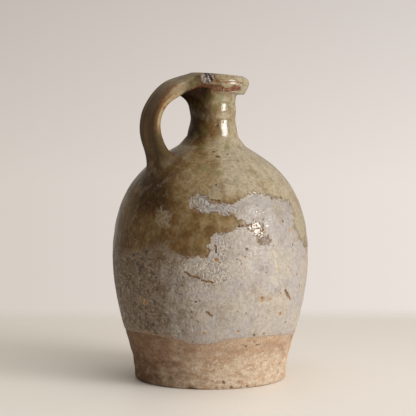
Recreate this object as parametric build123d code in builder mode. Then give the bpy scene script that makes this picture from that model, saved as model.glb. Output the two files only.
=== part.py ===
# Narrow-necked earthenware jug with one strap handle, put together from the potter's own pieces.
# Millimetres, +Z up, origin on the axis where the foot stands, handle towards -X.
import os
from math import cos, radians, sin, tan

from build123d import *

# Foot and floor
foot_radius = 65.2
foot_edge = 1.6
foot_height = 15.0
foot_lean = 5.4
foot_ease = 9.6
floor_thickness = 10.0
floor_corner = 12.0
wall_thickness = 7.0

# Belly, from the table to the widest girth
belly_radius = 84.0
belly_height = 104.0
belly_ease_below = 38.0
belly_ease_above = 62.0

# Shoulder, from the widest girth to the seat of the neck
shoulder_rise = 88.0
seat_radius = 42.1
seat_slope = 35.2
seat_ease = 15.0

# Neck, from its seat to the top of the mouth, slid a little over the dome away from the handle
neck_lean = 1.75
mouth_rise = 69.4
bore_radius = 12.0
neck_wall = 6.5
neck_flare_rise = 39.0
neck_flare_ease = 16.9
neck_ease = 31.7

# Mouth rim: a thick coil round the top of the neck, pushed and leaned away from the handle
rim_lean = 5.0
rim_shift = 2.3
rim_top_radius = 21.8
rim_shoulder_radius = 26.6
rim_shoulder_drop = 2.2
rim_radius = 28.0
rim_bulge_drop = 5.2
rim_lip_radius = 24.8
rim_height = 13.9

# Strap handle
handle_reach = 63.0
handle_drop = 42.9
handle_top_drop = 6.0
handle_top_grip = 6.0
handle_root_share = 0.925
handle_root_grip = 4.0
strap_dip = 11.0
strap_tuck = 25.0
strap_width = 25.0
strap_thickness = 4.8
strap_corner = 1.6
top_root_width = 28.0
top_root_thickness = 8.0
low_root_width = 29.0
low_root_thickness = 13.5

# Joints and coats, each a hair off the clay or the coat under it
slip_thickness = 0.6
groove_depth = 3.0
groove_width = 3.6
engobe_thickness = 0.4
glaze_thickness = 0.4
lining_thickness = 0.4
contact_gap = 0.05
dip_line = 37.0
glaze_line = 132.0

# Heights and radii worked out from the sizes above
seat_height = belly_height + shoulder_rise
mouth_height = seat_height + mouth_rise
neck_radius = bore_radius + neck_wall
coat_thickness = engobe_thickness + glaze_thickness
slip_face = slip_thickness - contact_gap
glaze_bed = engobe_thickness + contact_gap
clear_radius = 2 * belly_radius
clear_height = 2 * mouth_height

# Directions in the half section, with the radius as X and the height as Y
upwards = Vector(0, 1)
foot_direction = Vector(sin(radians(foot_lean)), cos(radians(foot_lean)))
seat_direction = Vector(-cos(radians(seat_slope)), sin(radians(seat_slope)))
seat_normal = Vector(sin(radians(seat_slope)), cos(radians(seat_slope)))

# The neck leans about the point where lines square to the dome at its seat meet the axis
neck_pivot = Vector(0, 0, seat_height - seat_radius / tan(radians(seat_slope)))
neck_up = Vector(sin(radians(neck_lean)), 0, cos(radians(neck_lean)))
seat_plane = Plane(origin=neck_pivot + neck_up * (seat_height - neck_pivot.Z), z_dir=neck_up)

# The mouth's own frame: its origin pushed off the leaning axis of the neck, its section in the handle's plane
mouth_centre = neck_pivot + neck_up * (mouth_height - neck_pivot.Z) + Vector(rim_shift, 0, 0)
mouth_up = Vector(sin(radians(rim_lean)), 0, cos(radians(rim_lean)))
mouth_out = Vector(cos(radians(rim_lean)), 0, -sin(radians(rim_lean)))
mouth_section = Plane(origin=mouth_centre, x_dir=mouth_out, z_dir=(0, -1, 0))
mouth_axis = Axis(mouth_centre, mouth_up)
mouth_top = Plane(origin=mouth_centre, z_dir=mouth_up)
rim_middle = mouth_top.offset(-rim_height / 2)


def shoulder_curve(grow):
    """Outline from the widest girth to the seat of the neck, moved outwards by a coat."""
    girth = Vector(belly_radius + grow, belly_height)
    seat = Vector(seat_radius, seat_height) + seat_normal * grow
    pulls = [girth + upwards * belly_ease_above, seat - seat_direction * seat_ease]
    return Bezier(girth, *pulls, seat, mode=Mode.PRIVATE)


def flare_curve(grow, throat_radius):
    """Outline from the seat of the neck up to the straight part of the neck or of its throat."""
    seat = Vector(seat_radius, seat_height) + seat_normal * grow
    throat = Vector(throat_radius, seat_height + neck_flare_rise)
    pulls = [seat + seat_direction * neck_flare_ease, throat - upwards * neck_ease]
    return Bezier(seat, *pulls, throat, mode=Mode.PRIVATE)


def jug_half(grow):
    """Half section of the jug filled to its axis and open upwards, moved outwards by a coat."""
    foot = Vector(foot_radius + grow, 0)
    band = foot + foot_direction * (foot_height / foot_direction.Y)
    girth = Vector(belly_radius + grow, belly_height)
    shoulder = shoulder_curve(grow)
    flare = flare_curve(grow, neck_radius + grow)
    with BuildSketch(Plane.XY, mode=Mode.PRIVATE) as half:
        with BuildLine():
            Polyline((0, 0), foot, band)
            Bezier(band, band + foot_direction * foot_ease, girth - upwards * belly_ease_below, girth)
            add(shoulder)
            add(flare)
            Polyline(flare @ 1, (neck_radius + grow, clear_height), (0, clear_height), (0, 0))
        make_face()
    return half.sketch_local


def hollow_half(grow):
    """Half section of the hollow inside, from the floor to the throat, drawn in by a lining."""
    throat_radius = bore_radius - grow
    floor = floor_thickness + grow
    corner = floor_corner - grow
    round_pull = corner / 2
    foot_wall = Vector(foot_radius - wall_thickness - grow, 0)
    wall_foot = foot_wall + foot_direction * ((floor + corner) / foot_direction.Y)
    floor_end = Vector(wall_foot.X - corner, floor)
    girth = Vector(belly_radius - wall_thickness - grow, belly_height)
    shoulder = shoulder_curve(-wall_thickness - grow)
    flare = flare_curve(-wall_thickness - grow, throat_radius)
    with BuildSketch(Plane.XY, mode=Mode.PRIVATE) as half:
        with BuildLine():
            Line((0, floor), floor_end)
            Bezier(floor_end, floor_end + (round_pull, 0), wall_foot - foot_direction * round_pull, wall_foot)
            Bezier(wall_foot, wall_foot + foot_direction * foot_ease, girth - upwards * belly_ease_below, girth)
            add(shoulder)
            add(flare)
            Polyline(flare @ 1, (throat_radius, clear_height), (0, clear_height), (0, floor))
        make_face()
    return half.sketch_local


def rim_half(grow):
    """Half section of the rim filled to its axis, with its top at height zero, moved outwards by a coat."""
    shoulder = Vector(rim_shoulder_radius + grow, -rim_shoulder_drop + grow / 2)
    bulge = Vector(rim_radius + grow, -rim_bulge_drop)
    lip = Vector(rim_lip_radius + grow, -rim_height - grow)
    with BuildSketch(Plane.XY, mode=Mode.PRIVATE) as half:
        with BuildLine():
            Polyline((0, grow), (rim_top_radius + grow / 2, grow), shoulder)
            ThreePointArc(shoulder, bulge, lip)
            Polyline(lip, (0, -rim_height - grow), (0, grow))
        make_face()
    return half.sketch_local


def below(height):
    """Half section of everything under a level line."""
    with BuildSketch(Plane.XY, mode=Mode.PRIVATE) as half:
        Rectangle(clear_radius, height, align=Align.MIN)
    return half.sketch_local


def below_belly_joint(lift):
    """Half section of everything under the grooved joint at the girth, lifted by the slip."""
    level = belly_height + lift
    groove_radius = belly_radius - wall_thickness / 2
    with BuildSketch(Plane.XY, mode=Mode.PRIVATE) as half:
        with BuildLine():
            Polyline(
                (0, 0),
                (0, level),
                (groove_radius - groove_width / 2, level),
                (groove_radius, level - groove_depth),
                (groove_radius + groove_width / 2, level),
                (clear_radius, level),
                (clear_radius, 0),
                close=True,
            )
        make_face()
    return half.sketch_local


def turned(outer, *cuts):
    """Solid of revolution about the jug's axis of a half section with other sections cut away."""
    with BuildPart() as solid:
        with BuildSketch(Plane.XZ):
            add(outer)
            for cut in cuts:
                add(cut, mode=Mode.SUBTRACT)
        revolve(axis=Axis.Z)
    return solid.part


def upright_body(outer, *cuts):
    """Solid of revolution of what a half section has below the seat of the neck."""
    whole = turned(outer, *cuts)
    with BuildPart() as body:
        add(whole)
        split(bisect_by=seat_plane, keep=Keep.BOTTOM)
    return body.part


def leaning_neck(outer, *cuts):
    """Solid of revolution of what a half section has above the seat of the neck, leaned with the neck."""
    upright = turned(outer, below(seat_height), *cuts)
    return upright.rotate(Axis(neck_pivot, (0, 1, 0)), neck_lean)


def open_neck(outer, *cuts):
    """The leaning neck from its seat to the middle of the rim."""
    whole = leaning_neck(outer, *cuts)
    with BuildPart() as neck:
        add(whole)
        split(bisect_by=rim_middle, keep=Keep.BOTTOM)
    return neck.part


def turned_rim(grow):
    """The rim filled to its axis, in its leaning frame."""
    section = rim_half(grow)
    with BuildPart() as solid:
        with BuildSketch(mouth_section):
            add(section)
        revolve(axis=mouth_axis)
    return solid.part


def strap_path():
    """Middle line of the strap in the handle's plane, from inside the rim to inside the shoulder."""
    start = mouth_centre - mouth_up * handle_top_drop - mouth_out * (rim_radius - handle_top_grip)
    widest = Vector(-handle_reach + strap_thickness / 2, 0, mouth_height - handle_drop)
    shoulder = shoulder_curve(0)
    along = shoulder % handle_root_share
    landing = shoulder @ handle_root_share + Vector(-along.Y, along.X) * handle_root_grip
    dip = Vector(-cos(radians(strap_dip)), 0, -sin(radians(strap_dip)))
    tuck = Vector(sin(radians(strap_tuck)), 0, -cos(radians(strap_tuck)))
    end = Vector(-landing.X, 0, landing.Y)
    return Spline(start, widest, end, tangents=[dip, Vector(0, 0, -1), tuck], mode=Mode.PRIVATE)


# Shares of the strap's path with its width and thickness there, halfway sizes where it swells into its roots
top_half_width = (strap_width + top_root_width) / 2
top_half_thickness = (strap_thickness + top_root_thickness) / 2
low_half_width = (strap_width + low_root_width) / 2
low_half_thickness = (strap_thickness + low_root_thickness) / 2
strap_sections = [
    (0.0, top_root_width, top_root_thickness),
    (0.2, top_half_width, top_half_thickness),
    (0.4, strap_width, strap_thickness),
    (0.6, strap_width, strap_thickness),
    (0.8, low_half_width, strap_thickness),
    (0.9, low_half_width, low_half_thickness),
    (1.0, low_root_width, low_root_thickness),
]


def strap(grow):
    """The pulled strap, wide and thick where it is pressed on at both ends, grown by a coat."""
    path = strap_path()
    with BuildPart() as solid:
        for share, width, thickness in strap_sections:
            with BuildSketch(Plane(origin=path @ share, x_dir=(0, 1, 0), z_dir=path % share)):
                RectangleRounded(width + 2 * grow, thickness + 2 * grow, strap_corner + grow)
        loft()
    return solid.part


# Half sections and solids that several pieces share
clay_half = jug_half(0)
inside_half = hollow_half(0)
bed_half = jug_half(contact_gap)
slip_half = jug_half(slip_face)
slipped_half = jug_half(slip_thickness)
engobe_half = jug_half(engobe_thickness)
glaze_bed_half = jug_half(glaze_bed)
coated_half = jug_half(coat_thickness)
slipped_body = upright_body(slipped_half)
coated_body = upright_body(coated_half)
slipped_neck = leaning_neck(slipped_half)
coated_neck = open_neck(coated_half)
bore_plug = leaning_neck(inside_half)
neck_core = leaning_neck(clay_half)
clay_rim = turned_rim(0)
rim_bed = turned_rim(contact_gap)
slipped_rim = turned_rim(slip_thickness)
coated_rim = turned_rim(coat_thickness)
bare_strap = strap(0)
strap_bed = strap(contact_gap)
coated_strap = strap(coat_thickness)

# Turned pieces with their own hollows, before the handle and the mouth are cut into them
dome_shell = upright_body(clay_half, inside_half, below_belly_joint(slip_thickness))
neck_tube = leaning_neck(clay_half, inside_half, below(seat_height + slip_thickness))
seat_ring = leaning_neck(below(seat_height + slip_face), inside_half, below(seat_height + contact_gap))
root_slip_shell = upright_body(slip_half, bed_half)
rim_slip_shell = leaning_neck(slip_half, bed_half)
engobe_shell = upright_body(engobe_half, bed_half, below(dip_line))
glaze_shell = upright_body(coated_half, glaze_bed_half, below(glaze_line))
neck_engobe_shell = open_neck(engobe_half, bed_half)
neck_glaze_shell = open_neck(coated_half, glaze_bed_half)
lining_shell = upright_body(hollow_half(contact_gap), hollow_half(lining_thickness))

# Lower body: thrown bowl with a grooved top edge and a softened foot
with BuildPart() as lower_body:
    with BuildSketch(Plane.XZ):
        add(clay_half)
        add(inside_half, mode=Mode.SUBTRACT)
        add(below_belly_joint(0), mode=Mode.INTERSECT)
    revolve(axis=Axis.Z)
    chamfer(lower_body.edges().group_by(Axis.Z)[0].sort_by(SortBy.RADIUS)[-1], foot_edge)

# Shoulder dome: thrown upper half with a tongue that sits in the groove
with BuildPart() as shoulder_dome:
    add(dome_shell)

# Neck collar: flared tube on the shoulder, with the bore of the mouth and its top cut along the rim
with BuildPart() as neck_collar:
    add(neck_tube)
    split(bisect_by=mouth_top, keep=Keep.BOTTOM)

# Mouth rim: coil round the top of the neck
with BuildPart() as mouth_rim:
    add(clay_rim)
    add(slipped_neck, mode=Mode.SUBTRACT)

# Strap handle: pressed on the rim and on the shoulder
with BuildPart() as strap_handle:
    add(bare_strap)
    add(slipped_body, mode=Mode.SUBTRACT)
    add(slipped_rim, mode=Mode.SUBTRACT)

# Slip in the grooved joint at the girth
with BuildPart() as belly_joint_slip:
    with BuildSketch(Plane.XZ):
        add(clay_half)
        add(inside_half, mode=Mode.SUBTRACT)
        add(below_belly_joint(slip_face), mode=Mode.INTERSECT)
        add(below_belly_joint(contact_gap), mode=Mode.SUBTRACT)
    revolve(axis=Axis.Z)

# Slip under the foot of the neck
with BuildPart() as neck_joint_slip:
    add(seat_ring)
    add(neck_core, mode=Mode.INTERSECT)

# Slip between the neck and the rim
with BuildPart() as rim_joint_slip:
    add(clay_rim)
    add(rim_slip_shell, mode=Mode.INTERSECT)

# Slip between the strap and the rim
with BuildPart() as handle_top_slip:
    add(bare_strap)
    add(turned_rim(slip_face), mode=Mode.INTERSECT)
    add(rim_bed, mode=Mode.SUBTRACT)

# Slip between the strap and the shoulder
with BuildPart() as handle_root_slip:
    add(bare_strap)
    add(root_slip_shell, mode=Mode.INTERSECT)

# Engobe coat: pale slip dip over the body, down to the dip line
with BuildPart() as engobe_coat:
    add(engobe_shell)
    add(strap_bed, mode=Mode.SUBTRACT)

# Neck engobe: the same dip over the neck, up to the rim
with BuildPart() as neck_engobe:
    add(neck_engobe_shell)
    add(coated_rim, mode=Mode.SUBTRACT)

# Shoulder glaze: from its ragged lower edge, taken as a level line, to the foot of the neck
with BuildPart() as shoulder_glaze:
    add(glaze_shell)
    add(strap_bed, mode=Mode.SUBTRACT)

# Neck glaze: from the foot of the neck to the rim
with BuildPart() as neck_glaze:
    add(neck_glaze_shell)
    add(coated_rim, mode=Mode.SUBTRACT)

# Rim glaze: over the top, the face and the underside of the rim, open at the bore
with BuildPart() as rim_glaze:
    add(coated_rim)
    add(rim_bed, mode=Mode.SUBTRACT)
    add(bore_plug, mode=Mode.SUBTRACT)
    add(coated_neck, mode=Mode.SUBTRACT)
    add(strap_bed, mode=Mode.SUBTRACT)

# Handle glaze: all round the strap, up to the coats of the rim and the body
with BuildPart() as handle_glaze:
    add(coated_strap)
    add(coated_body, mode=Mode.SUBTRACT)
    add(coated_rim, mode=Mode.SUBTRACT)
    add(strap_bed, mode=Mode.SUBTRACT)

# Inner glaze: lining of the floor, the wall and the dome
with BuildPart() as inner_glaze:
    add(lining_shell)

pieces = {
    "lower_body": lower_body,
    "shoulder_dome": shoulder_dome,
    "neck_collar": neck_collar,
    "mouth_rim": mouth_rim,
    "strap_handle": strap_handle,
    "belly_joint_slip": belly_joint_slip,
    "neck_joint_slip": neck_joint_slip,
    "rim_joint_slip": rim_joint_slip,
    "handle_top_slip": handle_top_slip,
    "handle_root_slip": handle_root_slip,
    "engobe_coat": engobe_coat,
    "neck_engobe": neck_engobe,
    "shoulder_glaze": shoulder_glaze,
    "neck_glaze": neck_glaze,
    "rim_glaze": rim_glaze,
    "handle_glaze": handle_glaze,
    "inner_glaze": inner_glaze,
}

os.makedirs("parts", exist_ok=True)
for name, piece in pieces.items():
    piece.part.label = name
    export_step(piece.part, f"parts/{name}.step")
    print(name, len(piece.solids()), "solids", round(piece.part.volume), "mm3")
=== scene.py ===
import math

import bmesh
import bpy
import numpy as np
from mathutils import Matrix, Vector, noise


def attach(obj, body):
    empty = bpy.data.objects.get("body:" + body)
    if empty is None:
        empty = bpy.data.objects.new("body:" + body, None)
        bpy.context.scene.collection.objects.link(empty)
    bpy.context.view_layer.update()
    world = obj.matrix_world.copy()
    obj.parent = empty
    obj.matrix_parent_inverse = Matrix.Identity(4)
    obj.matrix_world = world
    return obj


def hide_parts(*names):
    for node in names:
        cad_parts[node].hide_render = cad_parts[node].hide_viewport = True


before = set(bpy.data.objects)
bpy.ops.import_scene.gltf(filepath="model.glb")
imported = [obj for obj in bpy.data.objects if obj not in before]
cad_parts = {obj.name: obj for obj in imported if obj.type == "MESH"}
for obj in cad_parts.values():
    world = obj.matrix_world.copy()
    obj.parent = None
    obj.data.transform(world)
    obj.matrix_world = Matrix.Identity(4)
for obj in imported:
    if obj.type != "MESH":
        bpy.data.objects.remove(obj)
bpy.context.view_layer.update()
MM = 0.001

# Sizes of the jug in millimetres and degrees, the same as in the part's source
FOOT_RADIUS, FOOT_HEIGHT, FOOT_LEAN, FOOT_EASE = 65.2, 15.0, 5.4, 9.6
FLOOR_THICKNESS, WALL = 10.0, 7.0
BELLY_RADIUS, BELLY_HEIGHT, EASE_BELOW, EASE_ABOVE = 84.0, 104.0, 38.0, 62.0
SEAT_RADIUS, SEAT_HEIGHT, SEAT_SLOPE, SEAT_EASE = 42.1, 192.0, 35.2, 15.0
NECK_LEAN, NECK_RADIUS, NECK_RISE, FLARE_EASE, NECK_EASE = 1.75, 18.5, 39.0, 16.9, 31.7
MOUTH_HEIGHT = 261.4
RIM_LEAN, RIM_SHIFT, RIM_DEPTH = 5.0, 2.3, 14.7
HANDLE_REACH, HANDLE_HEIGHT = 60.6, 218.5
COAT, DIP_LINE = 0.8, 37.0

# The photograph's camera: focal length and picture in pixels, the rest in millimetres and degrees
PICTURE, FOCAL = 416, 1724.0
CAMERA_TURN, CAMERA_PITCH = -33.0, 4.845
CAMERA_DISTANCE, CAMERA_HEIGHT, CAMERA_SIDE = 1487.0, 273.0, 1.98
RAY_BEFORE, RAY_PAST, RAY_STEP = 110, 40, 0.25

turn, pitch = math.radians(CAMERA_TURN), math.radians(CAMERA_PITCH)
RIGHT = np.array((math.cos(turn), math.sin(turn), 0.0))
TOWARDS = np.array((math.sin(turn), -math.cos(turn), 0.0))
FORWARD = np.array((0.0, 0.0, -math.sin(pitch))) - TOWARDS * math.cos(pitch)
UPWARDS = np.cross(RIGHT, FORWARD)
CAMERA = TOWARDS * CAMERA_DISTANCE + np.array((0.0, 0.0, CAMERA_HEIGHT)) - RIGHT * CAMERA_SIDE

# The leaning neck turns about a point on the axis and bends between two heights; the rim has its own frame
PIVOT = SEAT_HEIGHT - SEAT_RADIUS / math.tan(math.radians(SEAT_SLOPE))
NECK_BEND = (186, 202)
lean = math.radians(NECK_LEAN)
neck_length = MOUTH_HEIGHT - PIVOT
MOUTH = Vector((math.sin(lean) * neck_length + RIM_SHIFT, 0.0, PIVOT + math.cos(lean) * neck_length))
RIM_FRAME = Matrix.Translation(MOUTH) @ Matrix.Rotation(math.radians(RIM_LEAN), 4, "Y")

# Limit of the distances kept at vertices, weld of points in metres, and points along the jug's outline
FAR, WELD = 30.0, 0.00001
CURVE_POINTS, BAND_POINTS, THROAT_POINTS = 60, 12, 20


def pulled(share, start, pull_start, pull_end, end):
    """Places at a share of the way along a curve between two ends with two pulls."""
    rest = 1 - share
    first_half = rest ** 3 * start + 3 * rest ** 2 * share * pull_start
    return first_half + 3 * rest * share ** 2 * pull_end + share ** 3 * end


def pull_curve(*points, count=CURVE_POINTS):
    """Points along a curve that is given by its start, two pulls and its end."""
    return pulled(np.linspace(0.0, 1.0, count)[:, None], *(np.array(point, float) for point in points))


def jug_line(grow):
    """Radius and height along the outside of the jug from the foot up to the mouth, moved out by a coat."""
    lean_out = np.array((math.sin(math.radians(FOOT_LEAN)), math.cos(math.radians(FOOT_LEAN))))
    slope = math.radians(SEAT_SLOPE)
    up_seat = np.array((-math.cos(slope), math.sin(slope)))
    foot = np.array((FOOT_RADIUS + grow, 0.0))
    band = foot + lean_out * FOOT_HEIGHT / lean_out[1]
    girth = np.array((BELLY_RADIUS + grow, BELLY_HEIGHT))
    seat = np.array((SEAT_RADIUS, SEAT_HEIGHT)) + np.array((math.sin(slope), math.cos(slope))) * grow
    throat = np.array((NECK_RADIUS + grow, SEAT_HEIGHT + NECK_RISE))
    return np.concatenate((
        np.linspace(foot, band, BAND_POINTS)[:-1],
        pull_curve(band, band + lean_out * FOOT_EASE, girth - (0, EASE_BELOW), girth)[:-1],
        pull_curve(girth, girth + (0, EASE_ABOVE), seat - up_seat * SEAT_EASE, seat)[:-1],
        pull_curve(seat, seat + up_seat * FLARE_EASE, throat - (0, NECK_EASE), throat)[:-1],
        np.linspace(throat, (NECK_RADIUS + grow, MOUTH_HEIGHT), THROAT_POINTS),
    ))


COAT_LINE = jug_line(COAT)
CLAY_LINE = jug_line(0.0)


def lengths_along(line):
    """How far each point of a line lies from its start, measured along it."""
    return np.concatenate(((0,), np.cumsum(np.hypot(*np.diff(line, axis=0).T))))


def spaced(line, step):
    """The same line with its points about one step apart."""
    along = lengths_along(line)
    marks = np.linspace(0, along[-1], max(2, round(along[-1] / step) + 1))
    return np.stack([np.interp(marks, along, line[:, axis]) for axis in (0, 1)], axis=1)


def radius_at(line, heights):
    """Radius of an upward line at heights."""
    return np.interp(heights, line[:, 1], line[:, 0])


def between(line, low, high, step):
    """The stretch of an upward line between two heights, with its points about one step apart."""
    ends = [(radius_at(line, level), level) for level in (low, high)]
    inside = line[(line[:, 1] > low) & (line[:, 1] < high)]
    return spaced(np.concatenate(([ends[0]], inside, [ends[1]])), step)


def spun(outline, columns, closed):
    """A bmesh spun about the Z axis from points of radius and height in millimetres."""
    shell = bmesh.new()
    points = [shell.verts.new((radius * MM, 0.0, height * MM)) for radius, height in outline]
    lines = [shell.edges.new(pair) for pair in zip(points, points[1:])]
    if closed:
        lines.append(shell.edges.new((points[-1], points[0])))
    bmesh.ops.spin(shell, geom=points + lines, cent=(0, 0, 0), axis=(0, 0, 1), angle=math.tau,
                   steps=columns, use_merge=True)
    bmesh.ops.remove_doubles(shell, verts=shell.verts, dist=WELD)
    bmesh.ops.recalc_face_normals(shell, faces=shell.faces)
    return shell


def finished(name, shell, sharp_from=50.0):
    """A smooth-shaded object at the origin from a bmesh, creased where faces meet at more than an angle."""
    for edge in shell.edges:
        if len(edge.link_faces) == 2:
            edge.smooth = edge.calc_face_angle() < math.radians(sharp_from)
    for face in shell.faces:
        face.smooth = True
    mesh = bpy.data.meshes.new(name)
    shell.to_mesh(mesh)
    shell.free()
    made = bpy.data.objects.new(name, mesh)
    bpy.context.scene.collection.objects.link(made)
    return made


def places(mesh):
    """The places of a mesh's vertices in millimetres, one row each."""
    flat = np.empty(len(mesh.vertices) * 3)
    mesh.vertices.foreach_get("co", flat)
    return flat.reshape(-1, 3) / MM


def set_places(mesh, rows):
    """Puts a mesh's vertices at places in millimetres."""
    mesh.vertices.foreach_set("co", (rows * MM).ravel())
    mesh.update()


def keep_values(mesh, named):
    """Keeps numbers for each vertex under their names, for the mesh's material to read."""
    for name, values in named.items():
        layer = mesh.attributes.new(name, "FLOAT", "POINT")
        layer.data.foreach_set("value", np.asarray(values, np.float32))


def lumps(rows, size, seed):
    """Smooth noise from -1 to 1 at places in millimetres, with lumps of about the size given."""
    shift = Vector((seed * 17.3, seed * 5.1, seed * 9.7))
    return np.array([noise.noise(Vector(row) / size + shift) for row in rows])


def ease(low, high, values):
    """Rises smoothly from 0 at low to 1 at high."""
    share = np.clip((np.asarray(values, float) - low) / (high - low), 0.0, 1.0)
    return share * share * (3 - 2 * share)


def outward_of(rows):
    """Level directions from the jug's axis to places."""
    return rows * (1, 1, 0) / np.maximum(np.hypot(rows[:, 0], rows[:, 1]), 1e-6)[:, None]


def facing(rows):
    """Angle about the axis from the side that faces the camera, positive to the right of the picture."""
    return np.arctan2(rows[:, :2] @ RIGHT[:2], rows[:, :2] @ TOWARDS[:2])


def unrolled(rows):
    """Angle and height of places, with the angle as millimetres round the belly."""
    return np.stack((facing(rows) * BELLY_RADIUS, rows[:, 2]), axis=1)


def leaned(rows, amount):
    """Rows turned about the neck's pivot by a share of its lean."""
    angle = lean * amount
    across, up = rows[:, 0], rows[:, 2] - PIVOT
    moved = rows.copy()
    moved[:, 0] = across * np.cos(angle) + up * np.sin(angle)
    moved[:, 2] = PIVOT - across * np.sin(angle) + up * np.cos(angle)
    return moved


def in_rim_frame(rows):
    """Rows given in the rim's own frame as places of the jug."""
    return np.array([RIM_FRAME @ Vector(row) for row in rows])


def photo_points(pixels, neck=False):
    """Places in millimetres on the jug's upright outline that lie behind pixels of the photograph."""
    found = []
    steps = np.arange(CAMERA_DISTANCE - RAY_BEFORE, CAMERA_DISTANCE + RAY_PAST, RAY_STEP)[:, None]
    for across, down in pixels:
        ray = FORWARD * FOCAL + RIGHT * (across - PICTURE / 2) + UPWARDS * (PICTURE / 2 - down)
        track = CAMERA + steps * ray / np.linalg.norm(ray)
        if neck:
            track = leaned(track, -1.0)
        radius = np.hypot(track[:, 0], track[:, 1])
        limit = radius_at(COAT_LINE, track[:, 2])
        inside = radius <= limit
        first = int(np.argmax(inside)) if inside.any() else int(np.argmin(radius - limit))
        found.append(track[first])
    return np.array(found)


def marks_at(listed, neck=False):
    """Places and radii of spots that were read from the photograph."""
    found = photo_points([spot[:2] for spot in listed], neck)
    if neck:
        found = leaned(found, 1.0)
    return [(place, spot[2]) for place, spot in zip(found, listed)]


def strokes_at(listed):
    """Ends and half widths of strokes that were read from the photograph."""
    starts = photo_points([stroke[:2] for stroke in listed])
    ends = photo_points([stroke[2:4] for stroke in listed])
    return [(start, end, stroke[4]) for start, end, stroke in zip(starts, ends, listed)]


def seen_at(rows):
    """Where places in millimetres show in the photograph, in its pixels."""
    away = rows - CAMERA
    depth = away @ FORWARD
    across, up = FOCAL * (away @ RIGHT) / depth, FOCAL * (away @ UPWARDS) / depth
    return np.stack((PICTURE / 2 + across, PICTURE / 2 - up), axis=1)


def line_distance(flat, start, end):
    """Distance of flat places from a straight stretch."""
    side = end - start
    share = np.clip(((flat - start) @ side) / (side @ side), 0, 1)
    return np.hypot(*(flat - start - share[:, None] * side).T)


def near_by(flat, corners, half):
    """How far flat places lie inside a band of half a width along a line, negative outside it."""
    corners = np.array(corners, float)
    away = [line_distance(flat, start, end) for start, end in zip(corners, corners[1:])]
    return half - np.min(away, axis=0)


def inside_by(flat, corners):
    """Signed distance of flat places from a closed outline, positive inside it."""
    corners = np.array(corners, float)
    away = np.full(len(flat), 1e9)
    odd = np.zeros(len(flat), bool)
    for start, end in zip(corners, np.roll(corners, -1, axis=0)):
        side = end - start
        away = np.minimum(away, line_distance(flat, start, end))
        crosses = (start[1] > flat[:, 1]) != (end[1] > flat[:, 1])
        rise = side[1] if side[1] != 0 else 1e-9
        odd ^= crosses & (flat[:, 0] < start[0] + side[0] * (flat[:, 1] - start[1]) / rise)
    return np.where(odd, away, -away)


def wall_inside(flat, pixels):
    """How far unrolled places lie inside a patch of the photograph, negative outside it."""
    return np.clip(inside_by(flat, unrolled(photo_points(pixels))), -FAR, FAR)


# Lower edge of the glaze across the photograph, left to right, with its tongue and the bare patch above it
GLAZE_EDGE = [
    (117, 257), (126, 260), (137, 257), (148, 252), (159, 248), (167, 252), (177, 255), (184, 258),
    (197, 258), (206.6, 256.3), (209.4, 249.3), (209.4, 240.8), (213.7, 234.5), (223.5, 233), (234.7, 229.6),
    (247.3, 226.8), (253, 226.4), (247.3, 224), (237.5, 218.4), (231.9, 214.2), (220.7, 214.2), (212, 212),
    (208, 214.2), (198, 212.8), (189.8, 207), (189.8, 197.3), (198.2, 193.8), (206.6, 197.3), (212.2, 203),
    (222, 203), (231.9, 204.4), (238.9, 200.2), (247.3, 196.6), (257.1, 194.5), (268.4, 196.6),
    (278.2, 198.8), (288, 201.6), (292.2, 208.6), (293, 217), (294.3, 228), (300.6, 240.8), (305, 246.5),
]
# The same edge round the back, which the photograph does not show: degrees from the camera side, and height
BACK_EDGE = [(100, 112), (116, 121), (131, 108), (147, 117), (163, 102), (180, 110), (220, 110)]
BACK_EDGE_LEFT = [(-220, 110), (-180, 110), (-163, 117), (-145, 104), (-128, 112), (-112, 101)]
# Worn and remaining patches inside the front: corners in the photograph
WORN_PATCH = [(156, 209), (163, 206), (169, 209), (171, 217), (168, 226), (161, 229), (156, 221)]
PALE_BLOTCH = [(207, 190), (213, 187.5), (219, 189), (221, 193), (216, 196), (209, 195)]
CRUMBLY_LOBE = [
    (188, 194), (207, 193.5), (214, 202), (233, 203), (239, 211), (222, 216), (205, 216), (190, 210),
]
CRUMBLY_EDGE = [
    (209, 237), (224, 232), (232, 240), (228, 262), (233, 284), (206, 292), (190, 276), (187, 261),
    (206, 259),
]
GLOSSY_ISLAND = [
    (247, 226), (251, 222.5), (258, 220.5), (263, 224), (264.5, 231), (261, 238), (256, 238), (250.5, 232.5),
]
BROWN_REMNANT = [(256, 233), (262, 236), (269, 236), (272, 240), (269, 245), (262, 247), (259, 241)]
# Lower edge of the slip across the photograph, and round the back by shares of half a round and heights
DIP_EDGE = [
    (127.4, 329.5), (150.2, 333.6), (166.2, 337.6), (179.6, 341.6), (190.4, 344), (203.7, 344.6),
    (217.1, 343), (227.9, 339.6), (243.9, 337.6), (257.3, 336.9), (270.7, 335.6), (284.1, 334.9),
    (293.5, 333.6),
]
DIP_BACK_LEFT, DIP_BACK_RIGHT = [(-1.0, 37.5), (-0.7, 40.0)], [(0.75, 35.0), (1.0, 37.5)]

one_degree, half_round = (math.radians(1) * BELLY_RADIUS, 1), (math.pi * BELLY_RADIUS, 1)
left_back, right_back = np.array(BACK_EDGE_LEFT) * one_degree, np.array(BACK_EDGE) * one_degree
above_mouth = MOUTH_HEIGHT + 100
closing = [(right_back[-1][0], above_mouth), (left_back[0][0], above_mouth)]
glazed = np.concatenate((left_back, unrolled(photo_points(GLAZE_EDGE)), right_back, closing))
dip_left, dip_right = np.array(DIP_BACK_LEFT) * half_round, np.array(DIP_BACK_RIGHT) * half_round
dip = np.concatenate((dip_left, unrolled(photo_points(DIP_EDGE)), dip_right))

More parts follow.
